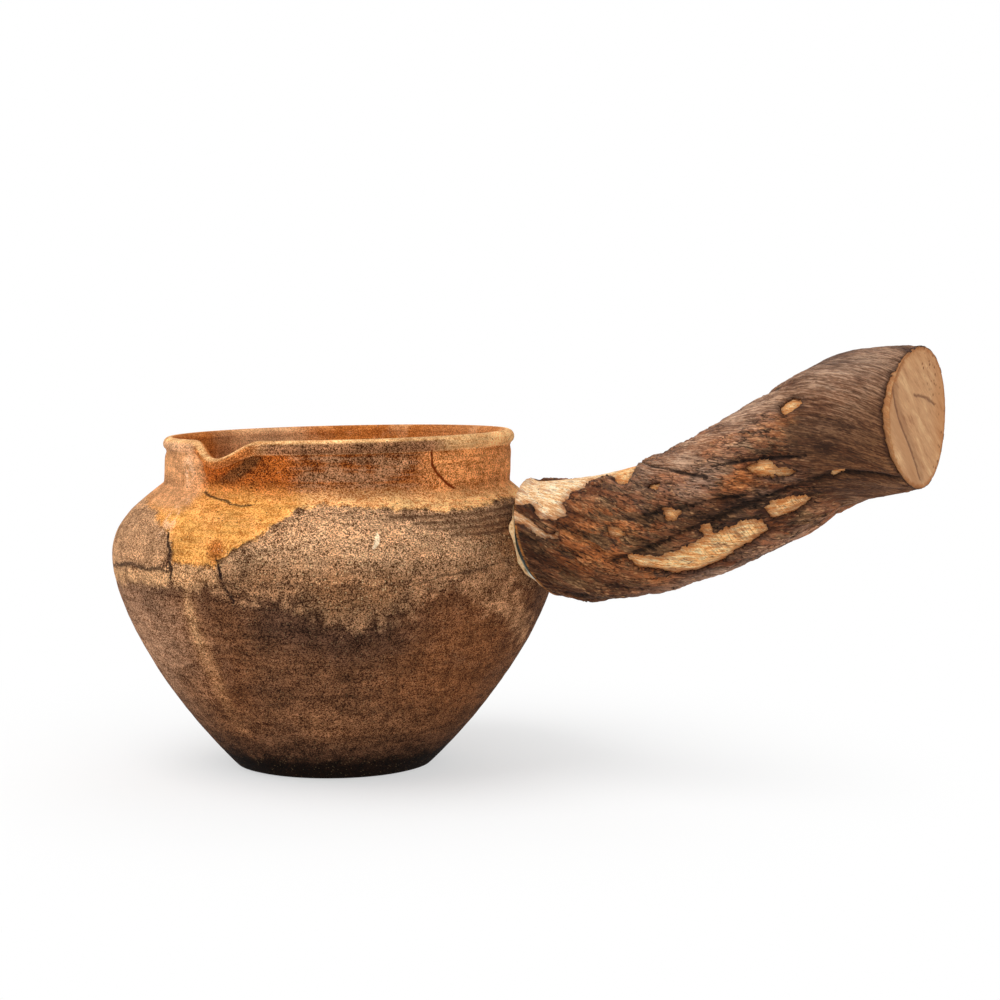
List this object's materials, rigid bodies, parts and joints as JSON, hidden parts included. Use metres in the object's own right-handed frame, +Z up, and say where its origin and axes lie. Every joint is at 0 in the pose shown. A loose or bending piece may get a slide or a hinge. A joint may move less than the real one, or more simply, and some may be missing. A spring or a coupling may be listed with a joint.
{
  "type": "side-handle teapot",
  "caption": "Open unglazed stoneware pouring pot with a full belly, short neck and pulled lip, and a crooked bark-covered branch fixed to its shoulder as a side handle.",
  "frame": {"origin": "centre of the flat foot's underside", "axes": "+Z up, +X the way the branch handle points in plan, the pouring lip near -Y"},
  "size_m": [0.1968, 0.106, 0.1004],
  "materials": {
    "stoneware": "coarse unglazed clay with orange flashing and brown ash, matte",
    "peg_clay": "bare tan clay, matte",
    "resin": "set resin, glossy grey-green",
    "bare_wood": "bare dry wood, sawn and peeled",
    "bark": "dry furrowed bark, matte"
  },
  "bodies": {
    "root": {"pot_body": "stoneware", "handle_peg": "peg_clay", "resin_bed": "resin", "handle_branch": "bare_wood", "handle_bark": "bark"}
  },
  "joints": []
}
